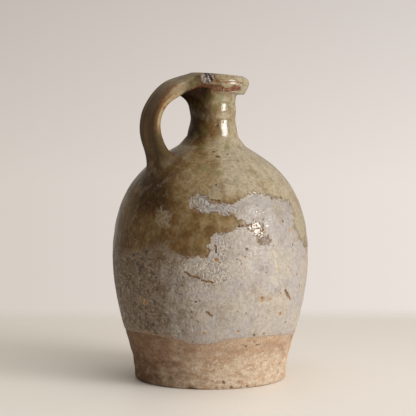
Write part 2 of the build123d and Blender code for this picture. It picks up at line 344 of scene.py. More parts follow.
# The coat of slip and glaze from the dip line up to the rim: a fine skin outside, a coarse one on the clay
COAT_COLUMNS, COAT_STEP, INNER_STEP = 440, 1.25, 14.0
COAT_TOP, COAT_GAP = MOUTH_HEIGHT - 9, 0.12
WEB_RADIUS, WEB_START = 22.0, 223.5
LIP_RADIUS, LIP_START = 4.0, 243.0
NECK_RING_START, NECK_RING_PITCH = 211.0, 15.5

outer = between(COAT_LINE, DIP_LINE, COAT_TOP, COAT_STEP)
inner = between(jug_line(COAT_GAP), DIP_LINE - 0.3, COAT_TOP, INNER_STEP)
coat = finished("slip_and_glaze_coat", spun(np.concatenate((outer, inner[::-1])), COAT_COLUMNS, True))
rows = places(coat.data)
flat = unrolled(rows)
height = rows[:, 2].copy()
skin = (radius_at(COAT_LINE, height) - np.hypot(rows[:, 0], rows[:, 1]) < 0.4).astype(float)
glaze = inside_by(flat, glazed)
leftward = np.sin(facing(rows))
sideways = rows[:, :2] @ RIGHT[:2]
on_shoulders = ease(140, 170, height)
lean_left = sideways / BELLY_RADIUS - 0.2 + 0.3 * on_shoulders + 0.25 * lumps(rows, 30.0, 21)
# glaze depth and painted shade: darker towards the left, the side away from the light, more on the left
# shoulder and on the neck
glaze_depth_and_shade = (0.9 + 0.1 * on_shoulders) * ease(0.5, -0.6, lean_left)
glaze_depth_and_shade += 0.85 * ease(-24, -42, sideways) * ease(-0.97, -0.75, leftward) * on_shoulders
neck_depth_and_shade = (0.3 + 1.25 * ease(0.45, -0.55, leftward)) * ease(196, 212, height)
crumbly = np.maximum(wall_inside(flat, CRUMBLY_LOBE), wall_inside(flat, CRUMBLY_EDGE) - 2.5)
keep_values(coat.data, {
    "glaze_depth_and_shade": np.maximum(glaze_depth_and_shade, neck_depth_and_shade),
    # painted shade under the rim, on the side away from the light
    "rim_shade": ease(226, 246, height) * ease(0.4, -0.5, leftward),
    "crumbly": np.maximum(0.15 + 0.85 * ease(-3, 2, crumbly), 0.95 * ease(0.15, -0.45, leftward)),
    "island": wall_inside(flat, GLOSSY_ISLAND),
    "glaze": np.clip(glaze, -FAR, FAR),
    "worn": np.maximum(wall_inside(flat, WORN_PATCH), wall_inside(flat, PALE_BLOTCH)),
    # grime and painted shade: darker towards the left, the side away from the light
    "grime_and_shade": 0.06 + 0.94 * ease(0.1, -0.85, leftward),
    "above_dip": height - DIP_LINE,
    "fading": 9.0 * ease(-0.22, -0.55, leftward),
    "remnant": wall_inside(flat, BROWN_REMNANT),
})

# Its relief: throwing rings, a glaze that stands proud, a lumpy slip, and a web and a lip up to the rim
ragged = glaze + 1.6 * lumps(rows, 5.0, 1)
rings = 0.10 * np.sin(height / 2.6 + 1.4 * lumps(rows, 60.0, 2)) * (0.3 + 0.7 * ease(60, 150, height))
neck_waves = (height - NECK_RING_START) * math.tau / NECK_RING_PITCH + 0.7 * lumps(rows, 30.0, 8)
lift = -0.3 + 0.3 * ease(-0.6, 0.8, ragged) + rings + 0.24 * np.sin(neck_waves) * ease(198, 208, height)
lift += 0.12 * lumps(rows, 9.0, 3) + 0.2 * lumps(rows, 34.0, 4)
lift += 0.08 * lumps(rows, 3.2, 5) * ease(0.5, -0.5, ragged)
taper = ease(DIP_LINE, DIP_LINE + 3, height)
from_handle = np.abs(np.degrees(np.arctan2(rows[:, 1], -rows[:, 0])))
climb = np.clip(height - WEB_START, 0, WEB_RADIUS - 0.2)
web = WEB_RADIUS - np.sqrt(WEB_RADIUS ** 2 - climb ** 2)
web *= np.cos(np.radians(np.minimum(from_handle, 90))) ** 3
web = np.minimum(web, 4.6 + 13 * ease(38, 2, from_handle))
climb = np.clip(height - LIP_START, 0, LIP_RADIUS - 0.1)
web = np.maximum(web, LIP_RADIUS - np.sqrt(LIP_RADIUS ** 2 - climb ** 2))
outward = outward_of(rows)
rows += outward * (skin * (lift * taper - 0.45 * (1 - taper) + web))[:, None]
wave = np.interp(flat[:, 0], *dip.T) - DIP_LINE + 0.45 * lumps(rows * (1, 1, 0), 6.0, 7)
moved = height + wave * ease(DIP_LINE + 20, DIP_LINE, height)
rows += outward * (radius_at(COAT_LINE, moved) - radius_at(COAT_LINE, height))[:, None]
rows[:, 2] = moved
set_places(coat.data, leaned(rows, ease(*NECK_BEND, height)))
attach(coat, "root")
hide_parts("engobe_coat", "shoulder_glaze", "neck_engobe", "neck_glaze")

# The thrown bowl: bare clay foot with chipped edge and throwing rings, hidden wall, floor and inside
BOWL_COLUMNS, FOOT_STEP, HIDDEN_STEP, INSIDE_STEP = 360, 1.25, 10.0, 8.0
# Radius and height under the foot, and chips of its edge: places in the photograph and radii in millimetres
UNDERSIDE = [
    (0.0, 0.9), (18.0, 0.8), (38.0, 0.5), (54.0, 0.15), (60.0, 0.0), (63.4, 0.0), (64.5, 0.35), (65.1, 0.9),
]
FOOT_CHIPS = [
    (216, 389, 1.2), (222, 389, 1.0), (231, 389, 1.7), (241, 388, 1.2), (247.5, 387.4, 1.5), (281, 378, 1.4),
]
foot_line = between(CLAY_LINE, 1.2, DIP_LINE + 6, FOOT_STEP)
hidden = between(jug_line(-0.3), DIP_LINE + 12, BELLY_HEIGHT, HIDDEN_STEP)
inside_wall = between(jug_line(-WALL), FLOOR_THICKNESS + 9, BELLY_HEIGHT, INSIDE_STEP)
floor_edge = np.array((FOOT_RADIUS - WALL, FLOOR_THICKNESS))
corner = pull_curve(floor_edge - (8, 0), floor_edge, inside_wall[0] - (0, 5), inside_wall[0], count=6)
floor_middle = [(0.0, FLOOR_THICKNESS)]
bowl_line = np.concatenate((UNDERSIDE, foot_line, hidden, inside_wall[::-1], corner[::-1][1:], floor_middle))
bowl = finished("thrown_bowl", spun(bowl_line, BOWL_COLUMNS, False), 70.0)
rows = places(bowl.data)
height = rows[:, 2].copy()
radius = np.hypot(rows[:, 0], rows[:, 1])
skin = (radius > radius_at(CLAY_LINE, height) - 1.6) & (height < DIP_LINE + 8)
lift = 0.14 * np.sin(height / 1.9 + 1.2 * lumps(rows, 70.0, 8))
lift += 0.12 * lumps(rows, 7.0, 9) + 0.2 * lumps(rows, 30.0, 10)
chips = ease(0.25, 0.62, lumps(rows * (1, 1, 0.4), 9.0, 11)) * ease(4.5, 0.3, height) * ease(58, 62, radius)
for place, size in marks_at(FOOT_CHIPS):
    away = np.linalg.norm((rows - place) * (1, 1, 0.8), axis=1)
    chips = np.maximum(chips, ease(size * 1.3, size * 0.5, away) * skin)
past_dip = height - np.interp(unrolled(rows)[:, 0], *dip.T)
lift = lift * ease(0, 3, height) * ease(-0.5, -5, past_dip) - 0.25 * ease(-2, 1, past_dip)
rows += outward_of(rows) * (skin * (lift - 1.5 * chips))[:, None]
rows[:, 2] += 1.1 * chips * skin
keep_values(bowl.data, {"chips": chips})
set_places(bowl.data, rows)
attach(bowl, "root")
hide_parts("lower_body")

# The rim: a thick coil in its own leaning frame, its lower lip chipped on the side that faces the camera
RIM_COLUMNS, RIM_STEP = 420, 0.6
BROKEN_LEFT = [
    (189, 90), (198, 86.2), (203, 84), (208, 84), (215, 84.4), (221, 85.4), (223.6, 86.8), (223.4, 93),
    (190, 94),
]
BROKEN_RIGHT = [
    (224, 88.6), (229, 88.2), (231.5, 86.6), (234, 85.4), (239, 85.8), (241.2, 88), (240.6, 92), (224, 93),
]
CRUST = [
    (200.4, 78), (202, 74), (206, 72.6), (211, 72.8), (214.4, 76), (214, 80.2), (210.4, 82), (207.6, 84),
    (203.4, 83.2), (201, 80.6),
]
BURNT_LINES = [[(204.6, 73), (206.2, 75.6)], [(207.6, 73), (210, 76.4), (213, 80.8)]]
RUST_LINES = [
    [(213.6, 75.6), (216, 79.6), (219.6, 81.2)], [(236.6, 82.2), (243, 83.2)], [(231, 77.2), (236, 77.6)],
]
GROOVE_LINE = [(215, 81), (225, 81.6), (243, 83.2)]
# Its section, radius and height from the mouth: up the inside, over the top, down the face and under the lip
RIM_INSIDE = np.array([
    (18.8, -RIM_DEPTH), (18.8, -2.0), (15.0, -0.6), (12.35, -0.9), (11.85, -5.0), (11.7, -5.0),
])
RIM_TOP = np.array([(11.7, -1.2), (12.2, 0.1), (13.6, 0.75), (17.0, 0.95)])
RIM_FACE = np.array([
    (21.6, 0.75), (23.0, 0.55), (27.2, -1.5), (28.2, -2.8), (28.75, -4.8), (28.6, -6.4), (28.0, -8.4),
    (27.2, -10.4), (26.3, -12.4), (25.7, -13.8), (24.9, -14.6),
])
RIM_UNDER = np.array([(23.4, -14.8), (20.6, -14.6)])


def rim_damage(rows, shown):
    """How far inside the marks of the damaged rim places lie, in pixels, where the photograph shows them."""
    picture = seen_at(rows)
    grooves = [near_by(picture, line, 0.8) for line in RUST_LINES] + [near_by(picture, GROOVE_LINE, 0.5)]
    found = {
        "broken": np.maximum(inside_by(picture, BROKEN_LEFT), inside_by(picture, BROKEN_RIGHT)),
        "crater": inside_by(picture, CRUST),
        "burnt": np.max([near_by(picture, line, 1.1) for line in BURNT_LINES], axis=0),
        "groove": np.max(grooves, axis=0),
    }
    return {name: np.where(shown, np.clip(values, -FAR, FAR), -FAR) for name, values in found.items()}


rim_line = np.concatenate((RIM_INSIDE, spaced(np.concatenate((RIM_TOP, RIM_FACE, RIM_UNDER)), RIM_STEP)))
rim = finished("rim_coil", spun(rim_line, RIM_COLUMNS, True), 60.0)
rows = places(rim.data)
radius = np.hypot(rows[:, 0], rows[:, 1])
angle = np.degrees(facing(rows))
damage = rim_damage(in_rim_frame(rows), (np.abs(angle) < 88) & (radius > 20.5))
front_lip = ease(-52, -38, angle) * ease(66, 54, angle)
front_lip *= ease(-8.4, -11.4, rows[:, 2]) * ease(21.5, 24.0, radius)
lift = 0.2 * lumps(rows, 11.0, 13) + 0.1 * lumps(rows, 4.0, 14) - 0.5 * ease(-1.2, 0.4, damage["groove"])
lift -= 0.9 * ease(-0.8, 1.0, damage["broken"]) + 0.5 * front_lip
lift -= ease(-0.6, 1.4, damage["crater"]) * (1.0 + 0.9 * lumps(rows, 2.4, 15))
face = ease(20.5, 22.5, radius)
rows += outward_of(rows) * (face * lift)[:, None]
rows[:, 2] += face * (0.25 * lumps(rows, 13.0, 16) + 0.7 * front_lip * ease(-10, -14, rows[:, 2]))
rows[:, 0] -= RIM_SHIFT * ease(24, 17, radius)
# glaze depth and painted shade: darker on the rim's side away from the light
glaze_depth_and_shade = 0.14 + 0.66 * ease(0.45, -0.75, np.sin(np.radians(angle)))
keep_values(rim.data, {**damage, "glaze_depth_and_shade": glaze_depth_and_shade})
set_places(rim.data, in_rim_frame(rows))
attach(rim, "root")
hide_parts("mouth_rim", "rim_glaze")

# The strap: a rounded flat section pulled along its path, its roots spread over the rim and the shoulder
STRAP_WIDTH, STRAP_THICKNESS, STRAP_CORNER, STRAP_POINTS = 26.6, 6.4, 2.4, 96
TOP_WIDTH, TOP_THICKNESS = 27.0, 11.0
LOW_WIDTH, LOW_THICKNESS = 27.4, 8.4
# Its path in the handle's plane, outwards and up: where it leaves the rim, its bend and its lower end
TOP_START, TOP_FALL, TOP_PULL = np.array((35.5, 251.5)), math.radians(25.27), 14.0
BEND, BEND_PULL = np.array((HANDLE_REACH, HANDLE_HEIGHT)), 17.0
LOW_END, LOW_TUCK, LOW_PULL = np.array((58.1, 206.0)), math.radians(22.0), 4.3
# Its roots in millimetres: height of the landing, and half widths and reaches up and down of both feet
LANDING, LOW_ACROSS, LOW_DOWN, LOW_UP, LOW_REACH, LOW_COUNT = 189.0, 22.0, 25.0, 11.0, 8.0, 20
TOP_ACROSS, TOP_RISE, TOP_REACH, TOP_COUNT = 18.5, 6.4, 5.0, 12
FACE_MIDDLE, FACE_RADIUS = -6.4, 27.0

start_pull = TOP_START + TOP_PULL * np.array((math.cos(TOP_FALL), -math.sin(TOP_FALL)))
end_pull = LOW_END + LOW_PULL * np.array((math.sin(LOW_TUCK), math.cos(LOW_TUCK)))
path_top = pull_curve(TOP_START, start_pull, BEND + (0, BEND_PULL), BEND)
path_low = pull_curve(BEND, BEND - (0, LOW_PULL), end_pull, LOW_END)
path = spaced(np.concatenate((path_top[:-1], path_low)), 1.0)


def strap_section(width, thickness, corner):
    """Points round a rounded flat section, across and outwards, evenly spaced."""
    across, out = width / 2 - corner, thickness / 2 - corner
    ring = []
    turns = ((across, out, 0), (-across, out, 90), (-across, -out, 180), (across, -out, 270))
    for side, rise, base in turns:
        for step in range(0, 91, 15):
            way = math.radians(base + step)
            ring.append((side + corner * math.cos(way), rise + corner * math.sin(way)))
    ring = np.array(ring + ring[:1])
    return spaced(ring, 0.0001 + lengths_along(ring)[-1] / STRAP_POINTS)[:STRAP_POINTS]


def strap_ring(place, along, width, thickness, corner):
    """The strap's section set square to its path, in millimetres, with a ribbed crown on its outer face."""
    out = np.array((-along[1], along[0]))
    out *= math.copysign(1.0, out[0]) if abs(out[0]) > abs(out[1]) else math.copysign(1.0, out[1])
    across, rise = strap_section(width, thickness, corner).T
    crown = 0.5 * (1 - (2 * across / width) ** 2) + 0.035 * np.cos(across * 1.1 + 0.9 * np.sin(across * 0.3))
    line = np.array(place) + (rise + crown * ease(0, thickness / 2, rise))[:, None] * out
    return np.stack((-line[:, 0], across, line[:, 1]), axis=1)


def on_shoulder(across, up, proud):
    """Places on the coated jug around the landing: sideways, up along the wall, and proud of it."""
    stretch = between(COAT_LINE, 120, 225, 0.5)
    along = lengths_along(stretch)
    reached = np.interp(LANDING, stretch[:, 1], along) + up
    height = np.interp(reached, along, stretch[:, 1])
    radius = np.interp(reached, along, stretch[:, 0]) + proud
    angle = across / np.maximum(radius, 30)
    found = np.stack((-radius * np.cos(angle), radius * np.sin(angle), height), axis=1)
    return leaned(found, ease(*NECK_BEND, height))


def on_rim(across, up, proud):
    """Places on the rim's face around the handle's plane: sideways and up from its middle, and proud."""
    level = np.clip(FACE_MIDDLE + up, -13.5, 0.4)
    radius = radius_at(RIM_FACE[::-1], level) + proud
    angle = across / FACE_RADIUS
    return in_rim_frame(np.stack((-radius * np.cos(angle), radius * np.sin(angle), level), axis=1))


def root_rings(last, direction, pull_foot, foot, reach, count):
    """Rings that spread from the strap's last section to its foot on the piece that carries it."""
    pull_strap = last + direction * reach
    return [pulled(share, last, pull_strap, pull_foot, foot) for share in np.linspace(0, 1, count + 1)[1:]]


steps = np.gradient(path, axis=0)
steps /= np.linalg.norm(steps, axis=1)[:, None]
shares = np.linspace(0, 1, len(path))
widths = np.interp(shares, (0, 0.4, 0.7, 1), (TOP_WIDTH, STRAP_WIDTH, STRAP_WIDTH, LOW_WIDTH))
thicknesses = STRAP_THICKNESS + (TOP_THICKNESS - STRAP_THICKNESS) * ease(0.5, 0, shares)
thicknesses += (LOW_THICKNESS - STRAP_THICKNESS) * ease(0.6, 1.1, shares)
corners = STRAP_CORNER + 1.0 * ease(0.5, 1.0, shares)
rings = [strap_ring(*row) for row in zip(path, steps, widths, thicknesses, corners)]

section = strap_section(STRAP_WIDTH, STRAP_THICKNESS, STRAP_CORNER)
round_angle = np.arctan2(section[:, 1] / (STRAP_THICKNESS / 2), section[:, 0] / (STRAP_WIDTH / 2))
cosine, sine = np.cos(round_angle), np.sin(round_angle)
low_across, low_up = LOW_ACROSS * cosine, -np.where(sine > 0, LOW_DOWN, LOW_UP) * sine
low_foot = on_shoulder(low_across, low_up, -0.35)
low_pull = on_shoulder(low_across * 0.66, low_up * 0.5, 0.1)
low_direction = np.array((-steps[-1][0], 0.0, steps[-1][1]))
low_rings = root_rings(rings[-1], low_direction, low_pull, low_foot, LOW_REACH, LOW_COUNT)
top_across = TOP_ACROSS * np.sign(cosine) * np.abs(cosine) ** 0.8
top_rise = TOP_RISE * np.sign(sine) * np.abs(sine) ** 0.45
top_foot = on_rim(top_across, top_rise, -0.45)
top_pull = on_rim(top_across * 0.72, top_rise * 0.95, 0.5)
top_direction = np.array((steps[0][0], 0.0, -steps[0][1]))
top_rings = root_rings(rings[0], top_direction, top_pull, top_foot, TOP_REACH, TOP_COUNT)
all_rings = top_rings[::-1] + rings + low_rings

strap_shell = bmesh.new()
circle = bmesh.ops.create_circle(strap_shell, segments=STRAP_POINTS, radius=1.0)["verts"]
for vert, place in zip(circle, all_rings[0]):
    vert.co = Vector(place) * MM
loop = list(strap_shell.edges)
first_loop = loop
for ring in all_rings[1:]:
    grown = bmesh.ops.extrude_edge_only(strap_shell, edges=loop)["geom"]
    new_verts = [item for item in grown if isinstance(item, bmesh.types.BMVert)]
    loop = [item for item in grown if isinstance(item, bmesh.types.BMEdge)
            and all(vert in set(new_verts) for vert in item.verts)]
    strap_shell.verts.index_update()
    new_verts.sort(key=lambda vert: vert.index)
    for vert, place in zip(new_verts, ring):
        vert.co = Vector(place) * MM
bmesh.ops.edgeloop_fill(strap_shell, edges=first_loop)
bmesh.ops.edgeloop_fill(strap_shell, edges=loop)
bmesh.ops.recalc_face_normals(strap_shell, faces=strap_shell.faces)
strap = finished("pulled_strap", strap_shell, 60.0)

# Marks of the strap in the photograph: rusty ridge and edge, a cream patch, and specks with half widths
NEAR_RIDGE = [(171, 88.6), (166, 92.5), (163, 96.5), (160.5, 101), (158.6, 106)]
INNER_EDGE = [(177, 94.6), (172.5, 97.6), (169, 101), (166, 105.6), (164, 109.6)]
TOP_CREAM = [(174, 86), (179, 82.4), (188, 82), (190, 86), (184, 90.4), (177, 92.4), (171, 95.4), (170, 91)]
STRAP_SPECKS = [
    (176, 86.4, 1.3), (191.4, 83.8, 1.3), (183, 85, 0.8), (168.4, 90, 1.8), (162.6, 97, 1.6), (172, 97, 1.0),
]
rows = places(strap.data)
picture = seen_at(rows)
far_half = np.where(rows[:, 1] < 2.0, 0.0, 2 * FAR)
strap_rust = np.maximum(near_by(picture, NEAR_RIDGE, 1.5), near_by(picture, INNER_EDGE, 0.9))
for across, down, size in STRAP_SPECKS:
    strap_rust = np.maximum(strap_rust, near_by(picture, [(across, down), (across + 0.5, down)], size))
stretches = (np.linspace(-1, 0, len(top_rings)), shares, np.linspace(1, 2, len(low_rings)))
along = np.repeat(np.concatenate(stretches), STRAP_POINTS)
glaze_depth_and_shade = 0.4 + 0.45 * ease(0.1, -0.25, along) + 0.15 * ease(0.0, 0.4, along) + 0.75 * ease(0.55, 0.95, along)
keep_values(strap.data, {
    "side": np.tile(np.abs(section[:, 0]) / (STRAP_WIDTH / 2), len(all_rings)),
    "inward": np.tile(-section[:, 1] / (STRAP_THICKNESS / 2), len(all_rings)),
    "along": along,
    "glaze_depth_and_shade": glaze_depth_and_shade,
    "rust": np.clip(strap_rust - far_half, -FAR, FAR),
    "cream": np.clip(inside_by(picture, TOP_CREAM) - far_half, -FAR, FAR),
    **rim_damage(rows, (rows[:, 1] < 4.0) & (rows[:, 2] > 240)),
})
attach(strap, "root")
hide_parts("strap_handle", "handle_glaze")


def linear(code):
    """A hex colour of the screen as linear red, green, blue and alpha."""
    parts = [int(code[start:start + 2], 16) / 255 for start in (1, 3, 5)]
    bright = [part / 12.92 if part <= 0.04045 else ((part + 0.055) / 1.055) ** 2.4 for part in parts]
    return (*bright, 1.0)


def fill(tree, node, inputs):
    """Links or sets inputs of a node: each a pattern of the tree, a number, or a hex colour."""
    for key, value in inputs.items():
        if isinstance(value, bpy.types.NodeSocket):
            tree.links.new(value, node.inputs[key])
        else:
            node.inputs[key].default_value = linear(value) if isinstance(value, str) else value


def add(tree, kind, inputs=None, output=0, **settings):
    """Adds a shader node with its settings, sets or links its inputs, and gives back one of its outputs."""
    made = tree.nodes.new("ShaderNode" + kind)
    for key, value in settings.items():
        setattr(made, key, value)
    fill(tree, made, inputs or {})
    return made.outputs[output]


def fresh(name):
    """A new material, its node tree, its shader and the place in metres that its patterns read."""
    material = bpy.data.materials.new(name)
    material.use_nodes = True
    tree = material.node_tree
    return material, tree, tree.nodes["Principled BSDF"], add(tree, "TexCoord", output="Object")


# Sockets of a map range node: its value, where it starts, where it is full, and its most
RAMP_SOCKETS = (0, 1, 2, 4)


def overlap(tree, *masks):
    """Product of masks: each a pattern, a number, or a pattern with its start, full value and most."""
    share = None
    for mask in masks:
        if isinstance(mask, tuple):
            mask = add(tree, "MapRange", dict(zip(RAMP_SOCKETS, mask)))
        share = mask if share is None else add(tree, "Math", {0: share, 1: mask}, operation="MULTIPLY")
    return share


def layered(tree, tone, *coats):
    """A tone with coats laid over it, each where its masks overlap and with its own tone last."""
    for *masks, over in coats:
        tone = add(tree, "Mix", {0: overlap(tree, *masks), 6: tone, 7: over}, 2, data_type="RGBA")
    return tone


def ragged_values(tree, ragged, *names):
    """Distances kept at the vertices under their names, each made ragged by a pattern."""
    for name in names:
        distance = add(tree, "Attribute", output="Fac", attribute_name=name)
        yield add(tree, "Math", {0: distance, 1: ragged}, operation="ADD")


def cloudy(tree, place, size, detail, low, high, least=0.0, most=1.0):
    """Noise with lumps of a size in millimetres, its values from low to high spread from least to most."""
    lumpy = {"Vector": place, "Scale": 1 / (size * MM), "Detail": detail, "Roughness": 0.62}
    spread = {0: add(tree, "TexNoise", lumpy), 1: low, 2: high, 3: least, 4: most}
    return add(tree, "MapRange", spread, interpolation_type="SMOOTHSTEP")


def pinholes(tree, place, cell, share, width):
    """Mask of small round pits in some of the cells of a size in millimetres."""
    cells = add(tree, "TexVoronoi", {"Vector": place, "Scale": 1 / (cell * MM)}).node.outputs
    pick = add(tree, "SeparateColor", {0: cells["Color"]})
    chosen = add(tree, "Math", {0: pick, 1: share}, operation="LESS_THAN")
    return overlap(tree, (cells["Distance"], width / cell, 0.5 * width / cell), chosen)


def spots(tree, place, marks, soft):
    """Mask of given round spots: centres and radii in millimetres, ragged by a warped place."""
    nearest = 10.0
    for centre, radius in marks:
        away = add(tree, "VectorMath", {0: place, 1: tuple(centre * MM)}, "Value", operation="DISTANCE")
        share = overlap(tree, away, 1 / (radius * MM))
        nearest = add(tree, "Math", {0: nearest, 1: share}, operation="MINIMUM")
    return overlap(tree, (nearest, 1.0 + soft, 1.0 - soft))


def strokes(tree, place, lines, soft):
    """Mask of listed strokes: ends and half widths in millimetres, ragged by a warped place."""
    nearest = 10.0
    for start, end, half in lines:
        side = (end - start) * MM
        per_length = tuple(side / (side @ side))
        offset = add(tree, "VectorMath", {0: place, 1: tuple(start * MM)}, operation="SUBTRACT")
        share = add(tree, "VectorMath", {0: offset, 1: per_length}, "Value", operation="DOT_PRODUCT")
        share = add(tree, "Math", {0: share, 1: 0.0}, operation="ADD", use_clamp=True)
        along = add(tree, "VectorMath", {0: tuple(side), 3: share}, operation="SCALE")
        away = add(tree, "VectorMath", {0: offset, 1: along}, "Value", operation="DISTANCE")
        share = overlap(tree, away, 1 / (half * MM))
        nearest = add(tree, "Math", {0: nearest, 1: share}, operation="MINIMUM")
    return overlap(tree, (nearest, 1.0 + soft, 1.0 - soft))


def warped(tree, place, lump=4.5, reach=2.8):
    """The place moved about by noise, both in millimetres, so that what is drawn on it gets ragged."""
    sway = add(tree, "TexNoise", {"Vector": place, "Scale": 1 / (lump * MM), "Detail": 3.0}, "Color")
    moved = add(tree, "VectorMath", {0: sway, 1: (reach * MM,) * 3, 2: place}, operation="MULTIPLY_ADD")
    return add(tree, "VectorMath", {0: moved, 1: (reach * MM / 2,) * 3}, operation="SUBTRACT")


def finish_look(tree, shader, tone, gloss, relief, **others):
    """Gives a shader its colour, roughness, other inputs, and a relief from heights in millimetres."""
    bumps = add(tree, "Bump", {"Height": relief, "Distance": MM, "Strength": 1.0})
    fill(tree, shader, {"Base Color": tone, "Roughness": gloss, "Normal": bumps, **others})


# Lead glaze: a glassy coat over the slip, honey to olive where it ran thick and darker where shade is
# painted into it, with the index of lead glass
LEAD_GLAZE_IOR = 1.75
THIN_GLAZE, MIDDLE_GLAZE, THICK_GLAZE, POOLED_GLAZE = "#A2957C", "#86704C", "#674B2A", "#3F2A13"
BROWN_RUNS, PALE_RUNS, GREEN_GLAZE = "#5E4322", "#A79A80", "#6C6A3A"


def glaze_look(tree, place):
    """Colour of the lead glaze by its thickness and by painted shade, with runs down the wall, and its runs
    and grain.
    """
    (glaze_depth_and_shade,) = ragged_values(tree, cloudy(tree, place, 24.0, 3.0, 0.3, 0.7, -0.22, 0.22), "glaze_depth_and_shade")
    upright = add(tree, "VectorMath", {0: place, 1: (1.0, 1.0, 0.65)}, operation="MULTIPLY")
    runs = cloudy(tree, upright, 8.0, 4.0, 0.3, 0.7)
    brown = add(tree, "MapRange", {0: glaze_depth_and_shade, 2: 0.7, 3: 0.22, 4: 0.7})
    height = add(tree, "SeparateXYZ", {0: place}, "Z")
    upper = add(tree, "MapRange", {0: height, 1: 165 * MM, 2: 215 * MM, 3: 0.12, 4: 0.5})
    tone = layered(
        tree, THIN_GLAZE,
        ((glaze_depth_and_shade, 0.05, 0.5), MIDDLE_GLAZE),
        ((glaze_depth_and_shade, 0.5, 1.0), THICK_GLAZE),
        ((glaze_depth_and_shade, 1.0, 1.5), POOLED_GLAZE),
        ((runs, 0.52, 0.95), brown, BROWN_RUNS),
        ((runs, 0.42, 0.1, 0.24), PALE_RUNS),
        (cloudy(tree, place, 11.0, 3.0, 0.53, 0.66), upper, GREEN_GLAZE),
    )
    grain = cloudy(tree, place, 2.4, 2.0, 0.3, 0.7)
    light = add(tree, "MapRange", {0: grain, 3: 0.8, 4: 1.18})
    return add(tree, "VectorMath", {0: tone, 3: light}, operation="SCALE"), runs, grain


def broken_look(tree, place, tone):
    """The rim's damage over a tone: rusty clay, grooves, a crust with burnt lines; its mask and crumbs."""
    distances = ragged_values(tree, cloudy(tree, place, 3.0, 3.0, 0.0, 1.0, -1.5, 1.5),
                              "broken", "groove", "crater", "burnt")
    broken, groove, crater, burnt = (overlap(tree, (distance, -0.3, 0.4)) for distance in distances)
    rusty_clay = layered(tree, "#502B15", (cloudy(tree, place, 4.2, 3.0, 0.3, 0.65), "#8A5630"))
    flecks = cloudy(tree, place, 1.9, 2.0, 0.38, 0.6)
    crust = layered(tree, "#655750", (flecks, "#AD9F98"), (burnt, "#1F1712"))
    tone = layered(tree, tone, (broken, rusty_clay), (groove, 0.8, "#7A4A28"), (crater, crust))
    bare = add(tree, "Math", {0: broken, 1: crater}, operation="MAXIMUM")
    return tone, bare, overlap(tree, cloudy(tree, place, 1.9, 2.0, 0.34, 0.66, 0.0, 0.5), bare)


# Marks of the front: places in the photograph and radii or half widths in millimetres
RUST_SPOTS = [
    (216.5, 260, 1.9), (262.5, 299.5, 2.4), (270, 299, 1.4), (280, 314, 1.7), (238, 331.6, 1.2),
    (203, 333.4, 1.5), (141, 299, 1.9), (145.5, 302, 2.2), (290, 229.6, 1.5), (297.3, 274.5, 1.2),
    (245, 257, 1.0), (241.5, 264, 0.9), (266, 273, 1.0), (280.5, 293.5, 0.9), (307, 251, 1.4),
]
DARK_PITS = [
    (246.4, 249.3, 1.2), (283, 221, 1.0), (195.7, 302, 1.0), (254, 335, 1.1), (271.5, 198, 1.0),
    (280.7, 197.6, 1.4), (293, 244.7, 0.9), (219, 200.5, 1.0), (239, 226.3, 1.1), (216, 251, 0.8),
    (262.5, 298.6, 0.9), (153.5, 273, 1.3), (155, 277, 1.2), (151, 276, 1.1), (128, 258, 1.6),
    (134, 254, 1.5), (146, 251, 1.4), (137, 263, 1.4), (127, 264, 1.3), (142, 258.5, 1.2), (139, 273, 1.4),
    (129, 268, 1.1), (133, 282.5, 1.3), (157, 288, 1.1), (140, 308, 1.2), (146, 314, 1.2), (139, 317, 1.1),
    (153, 324, 1.5), (156, 333, 1.3),
]
BROWN_STROKES = [
    (185, 272, 189, 275, 1.0), (189, 275, 198, 278, 0.8), (202, 280.5, 213, 283, 0.9),
    (285.5, 290.5, 288, 295, 1.4), (288, 295, 290.4, 299.5, 0.9), (206.5, 312.5, 209, 314, 1.1),
    (209, 314, 212, 315.5, 0.8), (239, 226.3, 251, 225, 0.9), (211, 199.5, 221, 203, 0.8),
    (215, 245, 216, 252, 0.8), (192, 207.5, 199, 212.5, 0.8), (206, 256.5, 209.5, 250, 1.0),
    (263, 225, 263.6, 230, 0.9), (257, 236, 259, 242, 0.9),
]
PALE_STROKES = [(274.5, 252, 275.5, 262, 0.6), (275.5, 262, 278, 272, 0.7), (274.5, 272, 271, 281, 0.5)]
GLINTS = [
    (255.5, 194.5, 2.2), (259, 193.6, 1.8), (257.5, 205, 1.2), (256.5, 211.5, 1.2), (263.5, 211, 1.4),
    (264.5, 213.5, 1.0), (267.5, 226, 1.2), (264, 193.5, 1.0), (249, 204.5, 0.9),
]
PALE_FLAKES = [
    (275, 279, 3.6), (276.5, 284, 3.0), (279, 300, 3.4), (202, 317, 4.0), (208, 319, 3.0), (274, 259, 1.4),
    (276.5, 270, 1.5), (230, 277, 1.6), (149, 275, 1.3), (181, 288.7, 1.7),
]
NECK_PITS = [
    (216.8, 125.5, 1.1), (213, 151.8, 1.1), (216.6, 156.4, 1.0), (218.6, 156.9, 1.0), (227.2, 154.3, 0.9),
    (215.4, 184.8, 0.9),
]
GREEN_BLOTCHES = [
    (219, 97, 3.4), (231, 99, 1.8), (229, 108, 2.0), (214, 108, 2.6), (202, 147, 3.4), (227, 147, 3.4),
    (204, 168, 3.2), (222, 132, 1.6), (219, 173, 3.0),
]
THROWING_LINES = [
    (176, 153.5, 196, 152.4, 0.6), (191, 157.6, 204, 156.6, 0.6), (217.5, 160.8, 229, 160.3, 0.6),
    (198, 160.5, 214, 161.8, 0.5),
]
FOOT_GASHES = [
    (243.4, 345.6, 246.4, 346.6, 1.0), (246.4, 346.6, 249.4, 346, 0.7), (256, 345.2, 260, 344.8, 0.6),
]
FOOT_PITS = [(223.4, 382.6, 1.6)]
